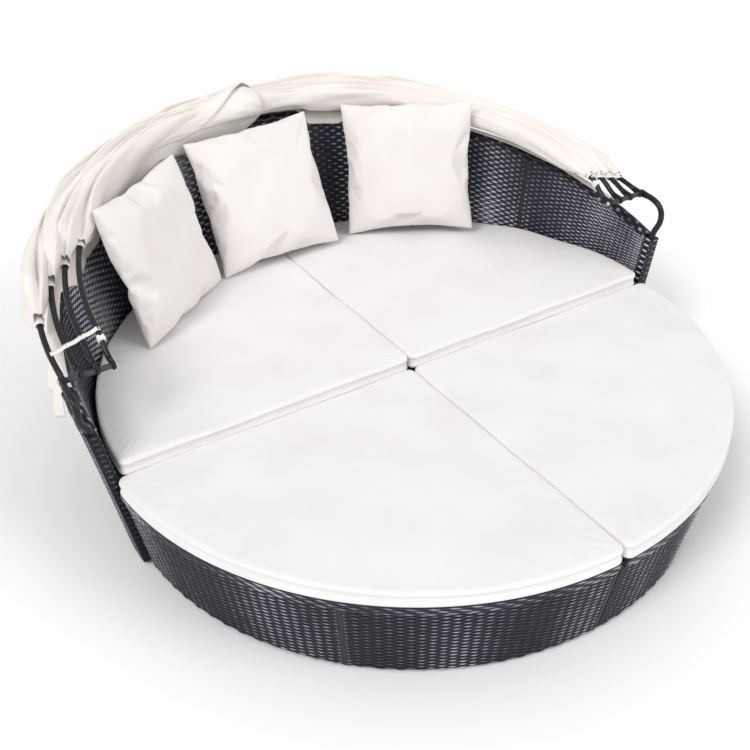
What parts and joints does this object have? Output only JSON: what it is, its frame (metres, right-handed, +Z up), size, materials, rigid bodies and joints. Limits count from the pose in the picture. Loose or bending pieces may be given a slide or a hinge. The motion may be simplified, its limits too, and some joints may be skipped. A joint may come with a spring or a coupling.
{
  "type": "outdoor daybed with canopy",
  "caption": "Round woven daybed: half-round sofa with a flared backrest, pull-out quarter-round ottomans, wedge cushions, throw pillows and a folding cloth canopy on bent tube bows.",
  "frame": {"origin": "on the floor, under the middle of the whole bed's box", "axes": "+Z up, -Y towards the open front, +X to the right as seen from the front"},
  "size_m": [1.955, 1.9454, 0.8608],
  "materials": {
    "wicker": "black synthetic rattan woven over vertical ribs, half gloss",
    "frame_metal": "dark powder coat",
    "bolt_steel": "zinc plated",
    "spacer_plastic": "moulded black plastic",
    "foot_plastic": "moulded black plastic",
    "cushion_cloth": "off-white woven polyester over foam",
    "pillow_cloth": "off-white woven polyester over loose fill",
    "canopy_cloth": "cream coated polyester"
  },
  "bodies": {
    "sofa": {"sofa_outer_weave": "wicker", "backrest_inner_weave": "wicker", "backrest_rim": "wicker", "sofa_front_weave": "wicker", "sofa_frame": "frame_metal", "sofa_deck": "wicker", "sofa_foot_1": "foot_plastic", "sofa_foot_2": "foot_plastic", "sofa_foot_3": "foot_plastic", "sofa_foot_4": "foot_plastic", "sofa_foot_5": "foot_plastic", "sofa_foot_6": "foot_plastic", "sofa_foot_7": "foot_plastic", "arm_end_wrap_left": "wicker", "canopy_post_left": "frame_metal", "pivot_bolt_left": "bolt_steel", "pivot_nut_left": "bolt_steel", "pivot_spacer_1_left": "spacer_plastic", "pivot_spacer_2_left": "spacer_plastic", "pivot_spacer_3_left": "spacer_plastic", "arm_end_wrap_right": "wicker", "canopy_post_right": "frame_metal", "pivot_bolt_right": "bolt_steel", "pivot_nut_right": "bolt_steel", "pivot_spacer_1_right": "spacer_plastic", "pivot_spacer_2_right": "spacer_plastic", "pivot_spacer_3_right": "spacer_plastic", "canopy_rear_bow": "frame_metal", "canopy_rim_drape": "canopy_cloth", "canopy_rear_panel": "canopy_cloth", "seat_cushion_left": "cushion_cloth", "seat_cushion_right": "cushion_cloth", "throw_pillow_left": "pillow_cloth", "throw_pillow_middle": "pillow_cloth", "throw_pillow_right": "pillow_cloth"},
    "bow_low": {"canopy_low_bow": "frame_metal", "canopy_low_panel": "canopy_cloth"},
    "bow_middle": {"canopy_middle_bow": "frame_metal", "canopy_middle_panel": "canopy_cloth"},
    "bow_front": {"canopy_front_bow": "frame_metal", "canopy_front_panel": "canopy_cloth"},
    "ottoman_left": {"ottoman_left_skirt": "wicker", "ottoman_left_side_a": "wicker", "ottoman_left_side_b": "wicker", "ottoman_left_frame": "frame_metal", "ottoman_left_deck": "wicker", "ottoman_left_cushion": "cushion_cloth", "ottoman_left_foot_1": "foot_plastic", "ottoman_left_foot_2": "foot_plastic", "ottoman_left_foot_3": "foot_plastic"},
    "ottoman_right": {"ottoman_right_skirt": "wicker", "ottoman_right_side_a": "wicker", "ottoman_right_side_b": "wicker", "ottoman_right_frame": "frame_metal", "ottoman_right_deck": "wicker", "ottoman_right_cushion": "cushion_cloth", "ottoman_right_foot_1": "foot_plastic", "ottoman_right_foot_2": "foot_plastic", "ottoman_right_foot_3": "foot_plastic"}
  },
  "joints": [
    {"name": "canopy_low_pivot", "type": "hinge", "parent": "sofa", "child": "bow_low", "pos_m": [0, 0.04395, 0.584], "axis": [1, 0, 0], "range_deg": [0, 33]},
    {"name": "canopy_middle_pivot", "type": "hinge", "parent": "bow_low", "child": "bow_middle", "pos_m": [0, 0.04395, 0.584], "axis": [1, 0, 0], "range_deg": [0, 33]},
    {"name": "canopy_front_pivot", "type": "hinge", "parent": "bow_middle", "child": "bow_front", "pos_m": [0, 0.04395, 0.584], "axis": [1, 0, 0], "range_deg": [0, 33]},
    {"name": "ottoman_left_slide", "type": "slide", "parent": "sofa", "child": "ottoman_left", "axis": [-0.7071, -0.7071, 0], "range_m": [0, 0.5]},
    {"name": "ottoman_right_slide", "type": "slide", "parent": "sofa", "child": "ottoman_right", "axis": [0.7071, -0.7071, 0], "range_m": [0, 0.5]}
  ]
}
